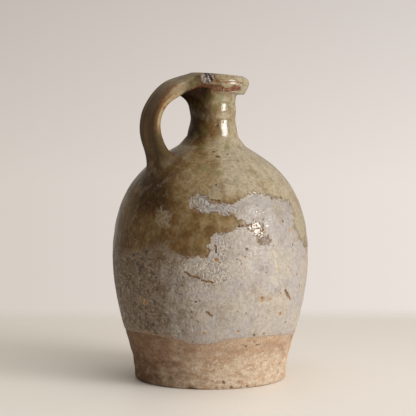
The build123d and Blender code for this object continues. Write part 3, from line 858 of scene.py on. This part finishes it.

# Lead glaze over a pale matt slip, flaked off in patches with crumbly edges, grimed and darkened with
# painted shade towards the left, and with painted shade under the rim
coat_material, tree, shader, place = fresh("lead_glaze_over_engobe")
warp = warped(tree, place)
height = add(tree, "SeparateXYZ", {0: place}, "Z")
crumb_edge = cloudy(tree, place, 2.6, 3.0, 0.0, 1.0, -3.0, 3.0)
ragged_edge = cloudy(tree, place, 7.0, 5.0, 0.0, 1.0, -4.5, 4.5)
ragged_edge = add(tree, "Math", {0: ragged_edge, 1: crumb_edge}, operation="ADD")
edge, remnant, above_dip, worn, island = ragged_values(
    tree, ragged_edge, "glaze", "remnant", "above_dip", "worn", "island")
fading, grime_and_shade, crumbly, rim_shade, pooled = (
    add(tree, "Attribute", output="Fac", attribute_name=name)
    for name in ("fading", "grime_and_shade", "crumbly", "rim_shade", "glaze_depth_and_shade"))
edge_low = add(tree, "Math", {0: -0.5, 1: fading}, operation="SUBTRACT")
edge_high = add(tree, "Math", {0: 0.5, 1: fading}, operation="ADD")
glassy = overlap(tree, (edge, edge_low, edge_high))

glaze_tone, runs, grain = glaze_look(tree, place)
lip_line = add(tree, "MapRange", {0: edge, 1: 3.2, 2: 0.3, 4: 0.55}, interpolation_type="SMOOTHSTEP")
greens = spots(tree, warped(tree, place, 7.0, 6.0), marks_at(GREEN_BLOTCHES, True), 0.6)
thrown = strokes(tree, warp, strokes_at(THROWING_LINES), 0.6)
glaze_tone = layered(
    tree, glaze_tone, (lip_line, "#5F4321"), (greens, 0.7, GREEN_GLAZE), (thrown, 0.4, "#6E5330"))

slip_tone = layered(tree, "#A89F99", (cloudy(tree, place, 22.0, 4.0, 0.35, 0.65), "#AFA495"))
upper_slip = add(tree, "MapRange", {0: height, 1: 100 * MM, 2: 150 * MM, 3: 1.0, 4: 0.78})
slip_grain = cloudy(tree, place, 3.0, 4.0, 0.3, 0.7)
slip_light = add(tree, "MapRange", {0: slip_grain, 3: 0.85, 4: 1.13})
crumb = overlap(tree, cloudy(tree, place, 1.9, 2.0, 0.34, 0.66, -1.0, 1.0), crumbly)
crumb_light = add(tree, "Math", {0: crumb, 1: 0.3, 2: 1.0}, operation="MULTIPLY_ADD")
for light in (upper_slip, slip_light, crumb_light):
    slip_tone = add(tree, "VectorMath", {0: slip_tone, 3: light}, operation="SCALE")
dirt_and_shade = cloudy(tree, place, 13.0, 5.0, 0.2, 0.8, -0.45, 0.45)
dirt_and_shade = add(tree, "Math", {0: grime_and_shade, 1: dirt_and_shade}, operation="ADD")
soot = cloudy(tree, warp, 5.5, 1.5, 0.5, 0.68)
chalk = cloudy(tree, place, 2.1, 2.0, 0.54, 0.66)
pit_share = add(tree, "MapRange", {0: grime_and_shade, 1: 0.1, 2: 1.0, 3: 0.05, 4: 0.55})
speck = pinholes(tree, warp, 4.0, pit_share, 1.3)
slip_tone = layered(
    tree, slip_tone,
    # grime and painted shade: the slip darker and browner towards the left
    ((dirt_and_shade, 0.12, 0.95, 0.94), "#6C5029"),
    (soot, (grime_and_shade, 0.2, 0.85, 0.8), "#412C17"),
    (chalk, (grime_and_shade, 0.05, 0.6, 0.75), "#A99C88"),
    (speck, 0.7, "#4A3827"),
    ((remnant, -0.5, 1.5, 0.9), "#614627"),
    ((above_dip, 3.5, -0.5), (grime_and_shade, -0.4, 0.6, 0.85), "#9C7A5C"),
)

film = add(tree, "MapRange", {0: crumb_edge, 1: -0.6, 2: 0.6, 3: 0.15, 4: 0.75})
island = overlap(tree, (island, -0.2, 0.6))
flakes = spots(tree, warp, marks_at(PALE_FLAKES), 0.12)
pale_lines = strokes(tree, warp, strokes_at(PALE_STROKES), 0.3)
rust_marks = marks_at(RUST_SPOTS)
halo = spots(tree, warp, [(centre, radius * 1.5) for centre, radius in rust_marks], 0.3)
rust = spots(tree, warp, rust_marks, 0.25)
gouges = strokes(tree, warp, strokes_at(BROWN_STROKES), 0.3)
pits = spots(tree, warp, marks_at(DARK_PITS) + marks_at(NECK_PITS, True), 0.35)
pits = add(tree, "Math", {0: pits, 1: pinholes(tree, warp, 9.0, 0.3, 0.75)}, operation="MAXIMUM")
tone = layered(
    tree, slip_tone,
    (glassy, glaze_tone),
    ((worn, -1.0, 2.5), film, "#9A8D78"),
    (island, 0.75, "#7C6340"),
    (flakes, 0.4, "#C4B6A0"),
    (pale_lines, "#C2B08C"),
    (halo, 0.3, "#C6B8A6"),
    (rust, layered(tree, "#86602F", (grain, "#BE905C"))),
    (gouges, layered(tree, "#4E351B", (grain, "#8A653A"))),
    (pits, 0.85, "#3B2A1B"),
    # painted shade under the rim
    ((rim_shade, 0.2, 1.0, 0.94), "#241810"),
)

shaded_mirror = add(tree, "MapRange", {0: rim_shade, 2: 0.6, 3: 0.5, 4: 0.05})
pooled_mirror = add(tree, "MapRange", {0: pooled, 1: 0.8, 2: 1.4, 3: 1.0, 4: 0.35})
slip_gloss = cloudy(tree, place, 5.0, 3.0, 0.4, 0.6, 0.3, 0.62)
glaze_gloss = add(tree, "MapRange", {0: runs, 1: 0.2, 2: 0.9, 3: 0.09, 4: 0.22})
pooled_gloss = overlap(tree, (pooled, 0.9, 1.4, 0.28))
glaze_gloss = add(tree, "Math", {0: glaze_gloss, 1: pooled_gloss}, operation="ADD")
gloss = add(tree, "Mix", {0: glassy, 2: slip_gloss, 3: glaze_gloss})
gloss = add(tree, "Math", {0: rim_shade, 1: 0.8, 2: gloss}, operation="MULTIPLY_ADD")
glint = spots(tree, warp, marks_at(GLINTS), 0.25)
wet = add(tree, "Math", {0: glint, 1: island}, operation="MAXIMUM")
gloss = add(tree, "Mix", {0: wet, 2: gloss, 3: 0.04})

# Its fine relief in millimetres: gritty slip, a glaze that levelled out, and what is sunk into both
rough = add(tree, "Math", {0: crumb, 1: 0.2, 2: overlap(tree, slip_grain, 0.2)}, operation="MULTIPLY_ADD")
smooth = add(tree, "Math", {0: runs, 1: 0.1, 2: 0.25}, operation="MULTIPLY_ADD")
relief = add(tree, "Mix", {0: glassy, 2: rough, 3: smooth})
blister = cloudy(tree, place, 5.5, 1.0, 0.3, 0.7, 0.0, 0.55)
relief = add(tree, "Mix", {0: wet, 2: relief, 3: blister})
sunk = add(tree, "Math", {0: pits, 1: gouges}, operation="MAXIMUM")
sunk = add(tree, "Math", {0: sunk, 1: rust}, operation="MAXIMUM")
shallow = add(tree, "Math", {0: speck, 1: flakes}, operation="MAXIMUM")
for mark, depth in ((sunk, -0.5), (shallow, -0.25)):
    relief = add(tree, "Math", {0: mark, 1: depth, 2: relief}, operation="MULTIPLY_ADD")
mirror = {"Specular IOR Level": overlap(tree, shaded_mirror, pooled_mirror)}
finish_look(tree, shader, tone, gloss, relief, IOR=LEAD_GLAZE_IOR, **mirror)

# Unglazed buff earthenware of the foot, matt and gritty, with pale salts below, and stains and painted shade
# to the left
clay, tree, shader, place = fresh("buff_earthenware")
warp = warped(tree, place)
across = add(tree, "VectorMath", {0: place, 1: tuple(RIGHT)}, "Value", operation="DOT_PRODUCT")
height = add(tree, "SeparateXYZ", {0: place}, "Z")
flattened = add(tree, "VectorMath", {0: place, 1: (1.0, 1.0, 1.8)}, operation="MULTIPLY")
low = add(tree, "MapRange", {0: height, 1: 34 * MM, 2: 12 * MM, 3: -0.12, 4: 0.22})
salt = cloudy(tree, flattened, 6.5, 5.0, 0.3, 0.7)
salt = add(tree, "Math", {0: salt, 1: low}, operation="ADD")
# stains and painted shade: darker towards the left, the side away from the light
leftward = add(tree, "MapRange", {0: across, 1: 10 * MM, 2: -58 * MM, 3: -0.1, 4: 0.68})
stain_and_shade = cloudy(tree, flattened, 9.0, 5.0, 0.25, 0.75, 0.0, 0.55)
stain_and_shade = add(tree, "Math", {0: stain_and_shade, 1: leftward}, operation="ADD")
mauve = cloudy(tree, flattened, 15.0, 4.0, 0.52, 0.72)
tone = layered(
    tree, "#C0A991",
    (cloudy(tree, flattened, 16.0, 4.0, 0.32, 0.68), "#AE8F72"),
    ((salt, 0.45, 0.95, 0.72), "#CDBDA6"),
    ((stain_and_shade, 0.3, 1.0, 0.88), "#65401F"),
    ((height, 22 * MM, 34 * MM, 0.32), "#987A60"),
    (mauve, 0.4, "#83604F"),
)
grit = cloudy(tree, place, 1.8, 3.0, 0.3, 0.7)
light = add(tree, "MapRange", {0: grit, 3: 0.84, 4: 1.15})
tone = add(tree, "VectorMath", {0: tone, 3: light}, operation="SCALE")
holes = pinholes(tree, warp, 6.0, 0.35, 0.8)
gashes = strokes(tree, warp, strokes_at(FOOT_GASHES), 0.3)
for marks in (gashes, spots(tree, warp, marks_at(FOOT_PITS), 0.3)):
    holes = add(tree, "Math", {0: holes, 1: marks}, operation="MAXIMUM")
chipped = add(tree, "Attribute", output="Fac", attribute_name="chips")
tone = layered(tree, tone, (holes, 0.8, "#46311F"), (chipped, layered(tree, "#5E4630", (grit, "#9A7A58"))))
relief = add(tree, "Math", {0: holes, 1: -0.45, 2: overlap(tree, grit, 0.16)}, operation="MULTIPLY_ADD")
finish_look(tree, shader, tone, 0.88, relief)

# Lead glaze on the rim, broken away to rusty clay along the lower lip, with a crust beside the handle
rim_material, tree, shader, place = fresh("lead_glaze_on_rim")
tone, runs, _ = glaze_look(tree, place)
tone, bare, crumb = broken_look(tree, place, tone)
relief = add(tree, "Math", {0: bare, 1: -0.35, 2: overlap(tree, runs, 0.12)}, operation="MULTIPLY_ADD")
relief = add(tree, "Math", {0: relief, 1: crumb}, operation="ADD")
gloss = add(tree, "MapRange", {0: bare, 3: 0.1, 4: 0.6})
finish_look(tree, shader, tone, gloss, relief, IOR=LEAD_GLAZE_IOR)

# Lead glaze on the strap: lengthwise streaks on its faces, thin and cream on its sides, rust on ridges
strap_material, tree, shader, place = fresh("lead_glaze_on_strap")
tone, runs, grain = glaze_look(tree, place)
side, along, inward = (
    add(tree, "Attribute", output="Fac", attribute_name=name) for name in ("side", "along", "inward"))
lengthwise = add(tree, "VectorMath", {0: place, 1: (0.1, 1.0, 0.1)}, operation="MULTIPLY")
streak = cloudy(tree, lengthwise, 3.2, 3.0, 0.34, 0.66)
patchy = cloudy(tree, place, 9.0, 4.0, 0.3, 0.6, 0.45, 1.0)
near_side = add(tree, "MapRange", {0: side, 1: 0.5, 2: 0.95, 3: 0.2, 4: 1.0})
above_foot = overlap(tree, (along, 1.95, 1.45))
shaded_underside = overlap(tree, (along, 0.16, 0.0, 0.9), (inward, 0.2, 0.6))
cream, rust = ragged_values(tree, cloudy(tree, place, 5.0, 4.0, 0.0, 1.0, -3.0, 3.0), "cream", "rust")
streaky_tone = layered(tree, "#4C361B", (streak, "#6C5230"))
tone = layered(
    tree, tone,
    ((side, 0.93, 0.84), (along, 0.0, 0.34), (along, 1.5, 1.05), streaky_tone),
    ((side, 0.96, 0.995, 0.8), (along, 0.0, 0.2), (along, 0.9, 0.7), (inward, -0.4, -0.15), "#9A8B6B"),
    ((side, 0.86, 0.96, 0.8), (inward, -0.15, -0.45), (along, 0.1, 0.3), (along, 0.95, 0.75), "#6A4726"),
    # painted shade: the near side darker towards the lower root
    ((along, 0.72, 0.95, 0.65), (side, 0.5, 0.8), above_foot, "#4A3B20"),
    ((along, 0.14, -0.06, 0.85), patchy, near_side, "#463A21"),
    # painted shade on the strap's inner face where it leaves the rim
    (shaded_underside, "#2E1F14"),
    ((cream, -1.5, 2.0, 0.6), "#87775B"),
    ((rust, -0.4, 0.8, 0.85), layered(tree, "#6A3B1B", (grain, "#95602F"))),
)
tone, bare, crumb = broken_look(tree, place, tone)
dull = bare
for worn_part in ((side, 0.72, 0.9, 0.9), (along, 0.7, 0.95, 0.8)):
    dull = add(tree, "Math", {0: dull, 1: overlap(tree, worn_part)}, operation="MAXIMUM")
dull = overlap(tree, dull, above_foot)
dull_or_under = add(tree, "Math", {0: dull, 1: shaded_underside}, operation="MAXIMUM")
relief = add(tree, "Math", {0: streak, 1: 0.03, 2: overlap(tree, runs, 0.1)}, operation="MULTIPLY_ADD")
relief = add(tree, "Math", {0: relief, 1: crumb}, operation="ADD")
gloss = add(tree, "MapRange", {0: dull, 3: 0.36, 4: 0.7})
mirror = {"Specular IOR Level": add(tree, "MapRange", {0: dull_or_under, 3: 0.38, 4: 0.1})}
finish_look(tree, shader, tone, gloss, relief, IOR=LEAD_GLAZE_IOR, **mirror)

# Lute slip between the clay pieces: clay thinned with water, matt, and dark as painted shade, to match the
# shaded glaze round it under the rim
slip_material, tree, shader, place = fresh("fired_lute_slip")
relief = cloudy(tree, place, 1.8, 3.0, 0.3, 0.7, 0.0, 0.15)
tone = layered(tree, "#54402B", (cloudy(tree, place, 4.0, 4.0, 0.35, 0.65), "#665037"))
finish_look(tree, shader, tone, 0.9, relief)

# Lining glaze inside: a thin, clear brown wash of lead glaze over the clay
lining_material, tree, shader, place = fresh("brown_lining_glaze")
relief = cloudy(tree, place, 7.0, 2.0, 0.3, 0.7, 0.0, 0.2)
tone = layered(tree, "#7A5A34", (cloudy(tree, place, 9.0, 4.0, 0.35, 0.65), "#5B4023"))
finish_look(tree, shader, tone, 0.22, relief, IOR=LEAD_GLAZE_IOR)

for piece, finish in ((coat, coat_material), (bowl, clay), (rim, rim_material), (strap, strap_material)):
    piece.data.materials.append(finish)
for name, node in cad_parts.items():
    finish = lining_material if name == "inner_glaze" else slip_material if name.endswith("_slip") else clay
    for slot in node.material_slots:
        slot.material = finish

# Table that ends a little behind the jug, pale and matt, its far edge fading into the room; in metres
TABLE_BEHIND, TABLE_FADE, TABLE_SIZE = 0.43, 0.13, 3.0
sheet = bmesh.new()
bmesh.ops.create_grid(sheet, x_segments=1, y_segments=1, size=TABLE_SIZE)
bmesh.ops.translate(sheet, verts=sheet.verts, vec=(0, TABLE_BEHIND - TABLE_SIZE, 0))
bmesh.ops.rotate(sheet, verts=sheet.verts, matrix=Matrix.Rotation(turn, 3, "Z"))
table = finished("table", sheet)
paint, tree, shader, place = fresh("pale_matt_paint")
behind = add(tree, "VectorMath", {0: place, 1: tuple(-TOWARDS)}, "Value", operation="DOT_PRODUCT")
solid = {0: behind, 1: TABLE_BEHIND, 2: TABLE_BEHIND - TABLE_FADE}
solid = add(tree, "MapRange", solid, interpolation_type="SMOOTHSTEP")
fill(tree, shader, {"Base Color": "#F1EBE3", "Roughness": 0.42, "Alpha": solid})
table.data.materials.append(paint)

# Lights: turn right of the camera and rise in degrees, distance, width and height in metres, and watts
DAYLIGHT, ROOM_LIGHT = (1.0, 0.99, 0.98), (1.0, 0.965, 0.92)
AIM_HEIGHT = 0.13


def area_light(name, turn_right, rise, distance, width, height, power, colour):
    """A soft rectangular light that looks at the jug from right of the camera and above the table."""
    data = bpy.data.lights.new(name, "AREA")
    data.shape = "RECTANGLE"
    data.size, data.size_y = width, height
    data.energy = power
    data.color = colour
    way = TOWARDS * math.cos(math.radians(turn_right)) + RIGHT * math.sin(math.radians(turn_right))
    way = way * math.cos(math.radians(rise)) + np.array((0, 0, math.sin(math.radians(rise))))
    lamp = bpy.data.objects.new(name, data)
    lamp.location = Vector(way * distance) + Vector((0, 0, AIM_HEIGHT))
    lamp.rotation_euler = Vector(way).to_track_quat("Z", "Y").to_euler()
    bpy.context.scene.collection.objects.link(lamp)
    return lamp


area_light("window", 60, 17, 2.2, 0.88, 0.9, 25, DAYLIGHT)
area_light("window_glow", 50, 22, 2.4, 2.6, 1.6, 22, DAYLIGHT).visible_glossy = False
area_light("soft_fill", 46, 48, 2.6, 1.8, 1.8, 9, DAYLIGHT).visible_glossy = False
area_light("ceiling", 20, 86, 2.4, 2.4, 2.4, 20, ROOM_LIGHT).visible_glossy = False

# The room: a pale wall behind the jug, bright towards the window, dim to the left and behind the camera
world = bpy.data.worlds.new("room")
world.use_nodes = True
tree = world.node_tree
way = add(tree, "TexCoord", output="Generated")
bright_side = -TOWARDS * 0.75 + RIGHT * 0.55 + np.array((0, 0, 0.35))
share, behind, across = (
    add(tree, "VectorMath", {0: way, 1: tuple(side)}, "Value", operation="DOT_PRODUCT")
    for side in (bright_side, -TOWARDS, RIGHT))
rise = add(tree, "SeparateXYZ", {0: way}, "Z")
seen, mirrored = (add(tree, "LightPath", output=ray) for ray in ("Is Camera Ray", "Is Glossy Ray"))
# The wall as the camera sees it is painted lighter towards the window and darker towards the top: painted
# light and shade
wall_tone = layered(tree, "#D6CDC5", ((across, -0.12, 0.12), "#EAE2DB"))
wall_level = add(tree, "MapRange", {0: rise, 1: -0.07, 2: 0.045, 3: 1.0, 4: 0.8})
room_level = add(tree, "MapRange", {0: share, 1: -0.5, 2: 1.0, 3: 0.08, 4: 0.75})
mirror_level = add(tree, "MapRange", {0: behind, 1: 0.5, 2: 0.97, 3: 0.05, 4: 0.45})
mirror_level = add(tree, "Math", {0: mirror_level, 1: overlap(tree, room_level, 0.65)}, operation="MAXIMUM")
level = add(tree, "Mix", {0: mirrored, 2: room_level, 3: mirror_level})
level = add(tree, "Mix", {0: seen, 2: level, 3: wall_level})
room_tone = layered(tree, "#E6DDD1", (seen, wall_tone))
fill(tree, tree.nodes["Background"], {"Color": room_tone, "Strength": level})
scene = bpy.context.scene
scene.world = world
scene.view_settings.view_transform = "Standard"

# The photograph's camera
SENSOR_WIDTH, VIEW_END = 36.0, 20.0
camera_data = bpy.data.cameras.new("camera")
camera_data.sensor_width = SENSOR_WIDTH
camera_data.lens = SENSOR_WIDTH * FOCAL / PICTURE
camera_data.clip_end = VIEW_END
camera = bpy.data.objects.new("camera", camera_data)
camera.location = Vector(CAMERA * MM)
camera.rotation_euler = (math.radians(90 - CAMERA_PITCH), 0.0, turn)
scene.collection.objects.link(camera)
scene.camera = camera
